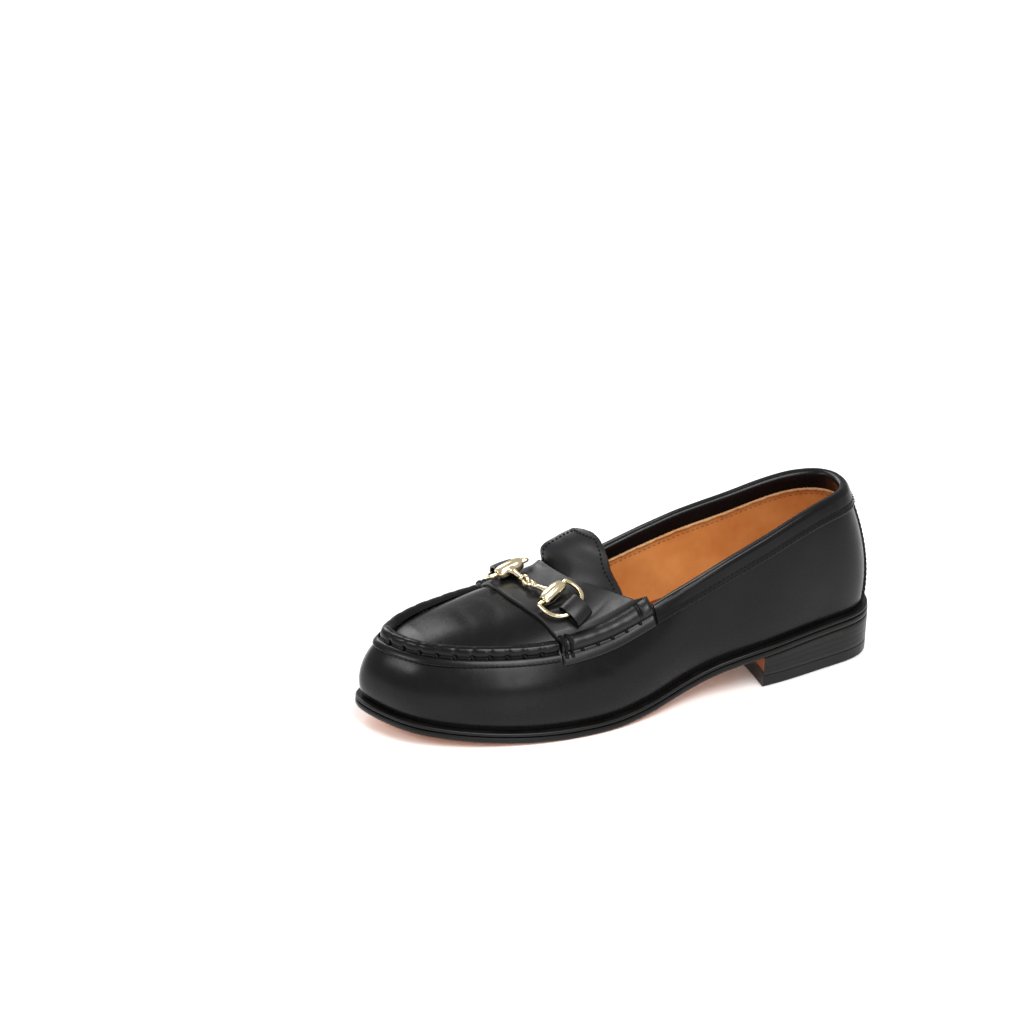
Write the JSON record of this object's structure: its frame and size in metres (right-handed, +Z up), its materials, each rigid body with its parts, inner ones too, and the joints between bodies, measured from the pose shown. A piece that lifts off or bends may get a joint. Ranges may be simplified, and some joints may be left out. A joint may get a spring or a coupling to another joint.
{
  "type": "bit loafer",
  "caption": "Left low-heeled loafer with a raised seam round the toe, a saddle strap over the instep carrying a metal snaffle bit, a rounded tongue and a stacked heel.",
  "frame": {"origin": "bottom centre of the bounding box, on the floor", "axes": "+Z up, toe towards -Y, heel towards +Y, outer side of the foot towards +X"},
  "size_m": [0.091, 0.262, 0.0897],
  "materials": {
    "black_leather": "polished smooth calf",
    "sole_edge": "black satin edge dressing on leather",
    "sole_leather": "natural tan sole leather",
    "insole_leather": "reddish brown smooth leather",
    "top_lift_rubber": "matt black",
    "pale_brass": "pale gold polish"
  },
  "bodies": {
    "root": {"outsole": "sole_leather", "welt": "sole_edge", "insole": "insole_leather", "heel_stack": "sole_edge", "top_lift": "top_lift_rubber", "upper": "black_leather", "moc_seam": "black_leather", "saddle_strap": "black_leather", "tongue": "black_leather", "collar_binding": "black_leather", "back_stay": "black_leather", "bit_ring_lateral": "pale_brass", "bit_ring_medial": "pale_brass", "bit_bar_lateral": "pale_brass", "bit_bar_medial": "pale_brass", "bit_keeper_lateral": "black_leather", "bit_keeper_medial": "black_leather"}
  },
  "joints": []
}
